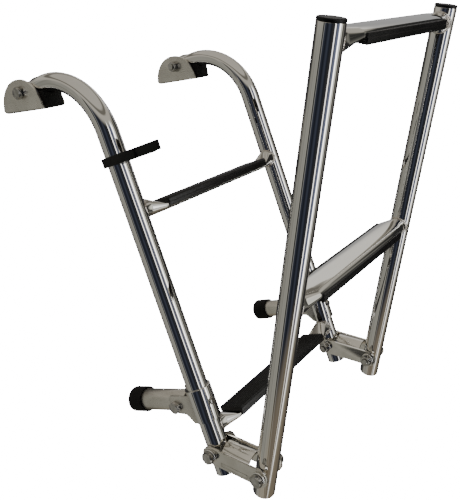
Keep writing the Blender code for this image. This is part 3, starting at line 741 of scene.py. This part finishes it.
def tread_outline():
    """The tread in section: stepped skirts, ribs, and the hollow that clips over the rung."""
    inner = RUNG_FLAT_REACH + GAP
    outer = inner + TREAD_WALL
    seat = RUNG_FLAT_TOP + GAP
    groove = TREAD_TOP - RIB_HEIGHT
    foot = outer - TREAD_BAND
    skirt = [(foot - TREAD_FOOT_EASE, TREAD_SKIRT), (foot, TREAD_SKIRT + TREAD_FOOT_EASE),
             (foot, TREAD_BAND_TOP), (outer, TREAD_BAND_TOP + TREAD_BAND)]
    points = [(-y, z) for y, z in skirt]
    points += arc((-outer + TREAD_SHOULDER, groove - TREAD_SHOULDER), TREAD_SHOULDER, 180, 120, 4)
    pitch = 2 * outer / RIB_COUNT
    for index in range(RIB_COUNT):
        points += rib(-outer + index * pitch, pitch, groove)
    points += arc((outer - TREAD_SHOULDER, groove - TREAD_SHOULDER), TREAD_SHOULDER, 60, 0, 4)
    points += list(reversed(skirt))
    hollow = [(inner - TREAD_HOOK, TREAD_SKIRT), (inner, TREAD_STRAIGHT), (inner, seat - TREAD_CHAMFER),
              (inner - TREAD_CHAMFER, seat)]
    return points + hollow + [(-y, z) for y, z in reversed(hollow)]


def tread(node_name, place, body):
    """A ribbed channel over the rung's flat, its ends eased."""
    outline = tread_outline()
    end = TREAD_LENGTH / 2
    middle_z = (TREAD_TOP + TREAD_SKIRT) / 2
    outer = max(y for y, _ in outline)
    # (distance from the end, how far the section draws in)
    eased = ((0.0, TREAD_EDGE), (0.4 * TREAD_EDGE, 0.35 * TREAD_EDGE), (1.2 * TREAD_EDGE, 0.0))

    def ring(x, ease):
        narrow = 1 - ease / outer
        shallow = 1 - ease / TREAD_HALF_DEPTH
        return [(x, y * narrow, middle_z + (z - middle_z) * shallow) for y, z in outline]

    rings = [ring(-end + inset, ease) for inset, ease in eased]
    rings += [ring(end - inset, ease) for inset, ease in reversed(eased)]
    piece(node_name, skin(rings), place, body, [TREAD])


# ---------------------------------------------------------------- stand-off arms

def leg_place(side, height, reach=0.0):
    """A point on a leg's axis at a height above the link bolt, moved by reach towards the boat."""
    return side * LEG_X, -LEG_REACH + reach, -LEG_DROP + height


def stand_off_clamp(side, label):
    """A polished sleeve round the tube, its ends brought forward as two plain cheeks."""
    low = SLEEVE_BOTTOM + CHEEK_INSET
    cheek = [(CHEEK_ROOT, low), (0.5 * SLEEVE_RADIUS, low), (0.9 * SLEEVE_RADIUS, CHEEK_LOW - 0.003),
             (1.1 * SLEEVE_RADIUS, CHEEK_LOW), (CHEEK_REACH, CHEEK_LOW + 0.002)]
    cheek += arc((CHEEK_REACH - CHEEK_CORNER, CHEEK_TOP - CHEEK_CORNER), CHEEK_CORNER, 0, 90, 12)
    cheek += [(CHEEK_ROOT, CHEEK_TOP)]
    sleeve = turned([(SLEEVE_RADIUS, SLEEVE_BOTTOM), (SLEEVE_RADIUS, SLEEVE_TOP)])
    steps = []
    for face in (-1, 1):
        place = side_view() @ Matrix.Translation((0, 0, face * (BORE_RADIUS + SLEEVE_WALL / 2)))
        steps.append(boolean(moved(plate(cheek, SLEEVE_WALL - 2 * SHY), place), "UNION"))
    bore = turned([(BORE_RADIUS, 0.0), (BORE_RADIUS, 0.1)])
    steps += [boolean(bore, "DIFFERENCE"), bevel(CLAMP_EASE, 2)]
    mesh = evaluated(sleeve, steps)
    plain = [polygon.center.y > CHEEK_ROOT for polygon in mesh.polygons]
    place = UPPER @ Matrix.Translation(leg_place(side, 0.0))
    piece(f"{label}_stand_off_clamp", mesh, place, "upper_section", [LEG_STEEL, CHEEK_STEEL])
    for polygon, is_plain in zip(mesh.polygons, plain):
        polygon.material_index = int(is_plain)


def clamp_screw(side, label):
    """A pan-headed screw with a hex socket, its end on the tube."""
    top = SET_SCREW_HEAD_HEIGHT
    radius = SET_SCREW_HEAD_RADIUS
    tip = -(SLEEVE_WALL + GAP)
    profile = [(SET_SCREW_RADIUS, tip), (SET_SCREW_RADIUS, 0.0), (radius, 0.0), (radius, top * 0.45),
               (radius * 0.93, top * 0.78), (radius * 0.74, top), (radius * 0.52, top)]
    rings = [circle(ring_radius, height, HEX_SIDES) for ring_radius, height in profile]
    for height in (top, top * 0.3):
        socket = []
        for index in range(HEX_SIDES):
            angle = tau * index / HEX_SIDES
            reach = hex_reach(radius * 0.42, angle)
            socket.append((reach * cos(angle), reach * sin(angle), height))
        rings.append(socket)
    place = UPPER @ along_y(leg_place(side, ARM_HEIGHT, -SLEEVE_RADIUS - GAP), -1)
    piece(f"{label}_clamp_screw", skin(rings), place, "upper_section", [BOLT_STEEL])


def stand_off_arm(side, label):
    """The arm's tube and the rubber foot over its end."""
    place = UPPER @ Matrix.Translation(leg_place(side, ARM_HEIGHT, ARM_BOLT_REACH)) @ along_y()
    start = ARM_FROM - ARM_BOLT_REACH
    end = ARM_TO - ARM_BOLT_REACH
    body = f"{label}_arm"
    piece(f"{label}_arm_tube", pipe(TUBE_RADIUS, TUBE_BORE, start, end), place, body,
          [ARM_STEEL])
    mouth = FOOT_FROM - ARM_BOLT_REACH
    tip = end + GAP + FOOT_WALL
    bore = BORE_RADIUS - GAP
    profile = [(bore, end + GAP), (bore, mouth + FOOT_MOUTH), (FOOT_RADIUS - FOOT_LIP - GAP, mouth)]
    profile += arc((FOOT_RADIUS - FOOT_LIP, mouth + FOOT_LIP), FOOT_LIP, -70, 0, 5)
    profile += arc((FOOT_RADIUS - FOOT_EDGE, tip - FOOT_EDGE), FOOT_EDGE, 0, 90, 12)
    piece(f"{label}_rubber_foot", turned(profile), place, body, [RUBBER])


# ---------------------------------------------------------------- stowage clip

def stowage_clip():
    """A moulded clip round the left tube, with a hooked arm for the folded stile."""
    wide = CLIP_HALF_WIDTH
    neck = CLIP_NECK_HALF_WIDTH
    jaw = TUBE_RADIUS + 2 * GAP
    jaw_floor = -LINK_PITCH + jaw
    outline = arc((0.0, 0.0), CLIP_RING_RADIUS, 170, 10, 48)
    outline += [(wide, jaw_floor + CLIP_SLOPE), (wide - CLIP_SLOPE, jaw_floor)]
    outline += arc((0.0, -LINK_PITCH), jaw, 90, 180, 28)
    outline += [(-jaw, CLIP_END), (-wide + CLIP_EDGE, CLIP_END), (-wide, CLIP_END + CLIP_EDGE)]
    outline += [(-wide, CLIP_NECK_TO), (-neck, CLIP_NECK_TO + CLIP_STEP),
                (-neck, CLIP_NECK_FROM - CLIP_STEP), (-wide, CLIP_NECK_FROM)]
    bore = rod(BORE_RADIUS, 0.02)
    mesh = evaluated(plate(outline, CLIP_THICK), [boolean(bore, "DIFFERENCE"), bevel(CLIP_EASE)])
    place = UPPER @ Matrix.Translation(leg_place(-1, CLIP_HEIGHT))
    piece("stowage_clip", mesh, place, "upper_section", [PLASTIC])


# ---------------------------------------------------------------- hinge links

def link_back():
    """The half-round back in section, with short legs that run into the cheeks."""
    wall = LINK_HALF_WIDTH - LINK_PLATE / 2
    legs_out = LINK_HALF_WIDTH - SHY
    outside = arc((0.0, 0.0), BACK_RADIUS, 18, 162, BACK_STEPS)
    inside = arc((0.0, 0.0), BACK_BORE, 180, 0, BACK_STEPS)
    shoulder = outside[0][1] - (legs_out - outside[0][0])
    return ([(legs_out, BACK_FOOT), (legs_out, shoulder)] + outside
            + [(-legs_out, shoulder), (-legs_out, BACK_FOOT), (-wall, BACK_FOOT)]
            + inside + [(wall, BACK_FOOT)])


def panel_lines(x):
    """The four thin blocks that score the panel's outline into a cheek's face at x."""
    far, near, low, high = PANEL
    line = PANEL_LINE
    for y_from, y_to, z_from, z_to in ((far, near, low, low + line), (far, near, high - line, high),
                                       (far, far + line, low, high), (near - line, near, low, high)):
        yield block((x - PANEL_DEPTH, y_from, z_from), (x + PANEL_DEPTH, y_to, z_to))


def hinge_link(side, label):
    """Two round-ended cheeks joined between the bolts by a half-round back."""
    end = LINK_END_RADIUS
    outline = arc((0.0, 0.0), end, 90, -90, END_STEPS) + arc((-LINK_PITCH, 0.0), end, -90, -270, END_STEPS)
    middle = LINK_HALF_WIDTH - LINK_PLATE / 2
    back = Matrix.Translation((0, -(ARCH_FROM + ARCH_TO) / 2, 0)) @ Matrix.Rotation(pi / 2, 4, "X")
    steps = [boolean(moved(plate(link_back(), ARCH_TO - ARCH_FROM), back), "UNION"),
             boolean(moved(plate(outline, LINK_PLATE), side_view((middle, 0, 0))), "UNION")]
    steps += [boolean(cutter, "DIFFERENCE") for cutter in panel_lines(side * LINK_HALF_WIDTH)]
    steps.append(bevel(LINK_EASE))
    mesh = evaluated(moved(plate(outline, LINK_PLATE), side_view((-middle, 0, 0))), steps)
    place = LINK @ Matrix.Translation((side * LEG_X, 0, 0))
    piece(f"{label}_hinge_link", mesh, place, "hinge_links", [LINK_STEEL])


# ---------------------------------------------------------------- lower section

def stile(side, label):
    """A stile and the plug in its top end."""
    place = LOWER @ Matrix.Translation((side * LEG_X, 0, 0))
    foot = STILE_TOP - PLUG_CAP
    piece(f"{label}_stile", pipe(TUBE_RADIUS, TUBE_BORE, -STILE_HEEL, foot - GAP), place, "lower_section",
          [STILE_STEEL])
    stem = TUBE_BORE - GAP
    stem_end = foot - PLUG_STEM
    brim = 2 * SHY
    profile = [(stem - PLUG_EASE, stem_end), (stem, stem_end + PLUG_EASE), (stem, foot),
               (TUBE_RADIUS - brim, foot), (TUBE_RADIUS, foot + brim)]
    profile += arc((TUBE_RADIUS - PLUG_ROUND, STILE_TOP - PLUG_ROUND), PLUG_ROUND, 0, 90, 8)
    piece(f"{label}_stile_plug", turned(profile), place, "lower_section", [PLASTIC])


# ---------------------------------------------------------------- assembly

LINK_SEAT = LINK_HALF_WIDTH + GAP + WASHER_THICK

for side, label in SIDES:
    x = side * LEG_X
    deck_bracket(side, label)
    bracket_pad(side, label)
    bolt_pair(f"{label}_pivot", DECK, (x, 0, PIVOT_HEIGHT), side, BRACKET_HALF_WIDTH, "deck_mounts")
    upper_tube(side, label)
    stand_off_clamp(side, label)
    clamp_screw(side, label)
    stand_off_arm(side, label)
    arm_pivot = leg_place(side, ARM_HEIGHT, ARM_BOLT_REACH)
    bolt_pair(f"{label}_arm", UPPER, arm_pivot, side, SLEEVE_RADIUS, "upper_section")
    hinge_link(side, label)
    for word, y in (("upper", 0.0), ("lower", -LINK_PITCH)):
        bolt_pair(f"{label}_{word}_link", LINK, (x, y, 0), side, LINK_SEAT, "hinge_links")
        washer(f"{label}_{word}_outer_washer", (x, y, 0), side)
        washer(f"{label}_{word}_inner_washer", (x, y, 0), -side)
    stile(side, label)

stowage_clip()
for number, height in enumerate(UPPER_RUNGS, 1):
    place = UPPER @ facing((0, -LEG_REACH, -LEG_DROP + height), 1)
    rung(f"upper_rung_{number}", place, "upper_section")
    tread(f"upper_tread_{number}", place, "upper_section")
for number, height in enumerate(LOWER_RUNGS, 1):
    place = LOWER @ facing((0, 0, height), -1)
    rung(f"lower_rung_{number}", place, "lower_section")
    tread(f"lower_tread_{number}", place, "lower_section")


# ---------------------------------------------------------------- floor, light and camera

FLOOR_DROP = 0.62            # far enough down for the lower section to hang straight
FLOOR_REACH = 6.0
FLOOR_THICK = 0.02
FLOOR_GLOW = 22.0
FLOOR_WHITE = (0.93, 0.93, 0.93, 1.0)
FLOOR_ROUGHNESS = 0.95
BACKDROP_GLOW = 20.0
BACKDROP_PROFILE = ((5.0, -1.6), (5.0, 3.0), (4.0, 5.0), (0.0, 6.0))    # (radius, height) pairs


def floor():
    """A pale floor, seen by the camera but not mirrored in the steel."""
    top = CAD_BOUNDS[0].z - FLOOR_DROP
    mesh = block((-FLOOR_REACH, -FLOOR_REACH, top - FLOOR_THICK), (FLOOR_REACH, FLOOR_REACH, top))
    made = bpy.data.objects.new("floor", mesh)
    bpy.context.scene.collection.objects.link(made)
    material = bpy.data.materials.new("floor_paint")
    material.use_nodes = True
    shader = material.node_tree.nodes["Principled BSDF"]
    shader.inputs["Base Color"].default_value = FLOOR_WHITE
    shader.inputs["Roughness"].default_value = FLOOR_ROUGHNESS
    shader.inputs["Emission Color"].default_value = (1.0, 1.0, 1.0, 1.0)
    shader.inputs["Emission Strength"].default_value = FLOOR_GLOW
    mesh.materials.append(material)
    made.visible_glossy = False
    made.visible_diffuse = False


def backdrop():
    """A white surround that only the camera sees, so that the room's tones stay in the steel."""
    mesh = turned(BACKDROP_PROFILE, 64)
    made = bpy.data.objects.new("backdrop", mesh)
    bpy.context.scene.collection.objects.link(made)
    material = bpy.data.materials.new("backdrop_white")
    material.use_nodes = True
    tree = material.node_tree
    tree.nodes.clear()
    glow = node(tree, "ShaderNodeEmission", Strength=BACKDROP_GLOW)
    out = tree.nodes.new("ShaderNodeOutputMaterial")
    tree.links.new(glow.outputs["Emission"], out.inputs["Surface"])
    mesh.materials.append(material)
    made.visible_glossy = False
    made.visible_diffuse = False
    made.visible_shadow = False
    made.visible_transmission = False


# The room's walls by compass angle in degrees from +X, counter-clockwise: (angle, tone, tint)
WARM = (1.0, 0.985, 0.875)
COOL = (0.80, 0.92, 1.35)
PLAIN = (1.0, 1.0, 0.98)
WALLS = (
    (0, 0.03, PLAIN),
    (84, 0.04, PLAIN),
    (98, 0.12, WARM),
    (106, 0.36, WARM),
    (113, 0.22, WARM),
    (118, 0.36, WARM),
    (124, 0.22, WARM),
    (132, 0.34, WARM),
    (150, 0.30, WARM),
    (155, 0.46, WARM),
    (159, 0.03, PLAIN),
    (166, 0.03, PLAIN),
    (169, 0.40, PLAIN),
    (172, 0.05, COOL),
    (190, 0.016, COOL),
    (206, 0.06, COOL),
    (218, 0.02, COOL),
    (237, 0.04, PLAIN),
    (242, 0.12, WARM),
    (245, 3.0, PLAIN),
    (248, 3.0, PLAIN),
    (251, 0.08, PLAIN),
    (262, 0.17, COOL),
    (276, 0.24, COOL),
    (281, 4.5, PLAIN),
    (286, 4.5, PLAIN),
    (291, 0.7, PLAIN),
    (303, 1.0, WARM),
    (308, 0.03, PLAIN),
    (326, 0.22, WARM),
    (332, 0.03, PLAIN),
    (360, 0.03, PLAIN),
)
BRIGHTEST = 5.0
CEILING = (0.50, 0.475, 0.42)
SHADE = (0.085, 0.078, 0.065)
GROUND = (0.36, 0.30, 0.21)
# How each level takes over from the one before: (colour, Z of the direction where it starts,
# Z where it is full, share)
LEVELS = (
    (CEILING, 0.34, 0.52, 1.0),
    (SHADE, 0.60, 0.65, 0.80),
    (CEILING, 0.69, 0.76, 1.0),
    (GROUND, -0.68, -0.90, 0.50),
)


def room():
    """Soft surrounding light: toned walls, a pale ceiling with a dark band, and a mid-toned ground."""
    world = bpy.data.worlds.new("room")
    bpy.context.scene.world = world
    world.use_nodes = True
    tree = world.node_tree
    background = tree.nodes["Background"]
    place = tree.nodes.new("ShaderNodeTexCoord")
    split = tree.nodes.new("ShaderNodeSeparateXYZ")
    tree.links.new(place.outputs["Generated"], split.inputs["Vector"])
    angle = tree.nodes.new("ShaderNodeMath")
    angle.operation = "ARCTAN2"
    tree.links.new(split.outputs["Y"], angle.inputs[0])
    tree.links.new(split.outputs["X"], angle.inputs[1])
    wrapped = tree.nodes.new("ShaderNodeMath")
    wrapped.operation = "WRAP"
    wrapped.inputs[1].default_value = tau
    wrapped.inputs[2].default_value = 0.0
    tree.links.new(angle.outputs["Value"], wrapped.inputs[0])
    turns = tree.nodes.new("ShaderNodeMath")
    turns.operation = "DIVIDE"
    turns.inputs[1].default_value = tau
    tree.links.new(wrapped.outputs["Value"], turns.inputs[0])
    walls = tree.nodes.new("ShaderNodeValToRGB")
    ramp = walls.color_ramp
    ramp.elements[0].position = 0.0
    ramp.elements[1].position = 1.0
    for angle_from_x, _, _ in WALLS[1:-1]:
        ramp.elements.new(angle_from_x / 360.0)
    for element, (_, tone, tint) in zip(ramp.elements, WALLS):
        element.color = (*(tone * share / BRIGHTEST for share in tint), 1.0)
    tree.links.new(turns.outputs["Value"], walls.inputs["Fac"])

    previous = walls.outputs["Color"]
    for colour, start, end, most in LEVELS:
        amount = node(tree, "ShaderNodeMapRange", From_Min=start, From_Max=end, To_Min=0.0, To_Max=most)
        amount.interpolation_type = "SMOOTHSTEP"
        tree.links.new(split.outputs["Z"], amount.inputs["Value"])
        blend = tree.nodes.new("ShaderNodeMix")
        blend.data_type = "RGBA"
        colour_inputs = [socket for socket in blend.inputs if socket.type == "RGBA"]
        colour_inputs[1].default_value = (*(part / BRIGHTEST for part in colour), 1.0)
        tree.links.new(amount.outputs["Result"], blend.inputs[0])
        tree.links.new(previous, colour_inputs[0])
        previous = [socket for socket in blend.outputs if socket.type == "RGBA"][0]
    tree.links.new(previous, background.inputs["Color"])
    background.inputs["Strength"].default_value = BRIGHTEST


def soft_light(name, location, target, size, watts, mirrored):
    """An area light aimed at a target, seen in the steel or not."""
    data = bpy.data.lights.new(name, "AREA")
    data.shape = "RECTANGLE"
    data.size = size[0]
    data.size_y = size[1]
    data.energy = watts
    made = bpy.data.objects.new(name, data)
    bpy.context.scene.collection.objects.link(made)
    made.location = location
    made.rotation_euler = (Vector(target) - Vector(location)).to_track_quat("-Z", "Y").to_euler()
    made.visible_glossy = mirrored


CAMERA_AT = Vector((-0.58879, -0.64084, 0.01884))
CAMERA_RIGHT = Vector((0.58530, -0.79309, -0.16864))
CAMERA_UP = Vector((0.27014, -0.00536, 0.96281))
CAMERA_AHEAD = Vector((0.76449, 0.60908, -0.21111))
CAMERA_LENS = 45.03          # millimetres, on a sensor this wide
CAMERA_SENSOR = 36.0
CAMERA_SHIFT = (-0.0158, -0.1098)
CAMERA_CLIP = (0.01, 50.0)


def camera():
    """The camera, set by its place and its three axes."""
    data = bpy.data.cameras.new("camera")
    data.lens = CAMERA_LENS
    data.sensor_width = CAMERA_SENSOR
    data.shift_x, data.shift_y = CAMERA_SHIFT
    data.clip_start, data.clip_end = CAMERA_CLIP
    made = bpy.data.objects.new("camera", data)
    bpy.context.scene.collection.objects.link(made)
    axes = Matrix((CAMERA_RIGHT, CAMERA_UP, -CAMERA_AHEAD)).transposed()
    made.matrix_world = Matrix.Translation(CAMERA_AT) @ axes.to_4x4()
    bpy.context.scene.camera = made


floor()
backdrop()
room()
# Lights: place, target, width and height, watts, whether the steel mirrors it
middle = (CAD_BOUNDS[0] + CAD_BOUNDS[1]) / 2
soft_light("top_light", (-0.3, -0.5, 1.9), middle, (1.6, 1.6), 22.0, False)
soft_light("back_light", (1.62, 0.42, 0.50), middle, (2.0, 1.3), 3.0, True)
camera()
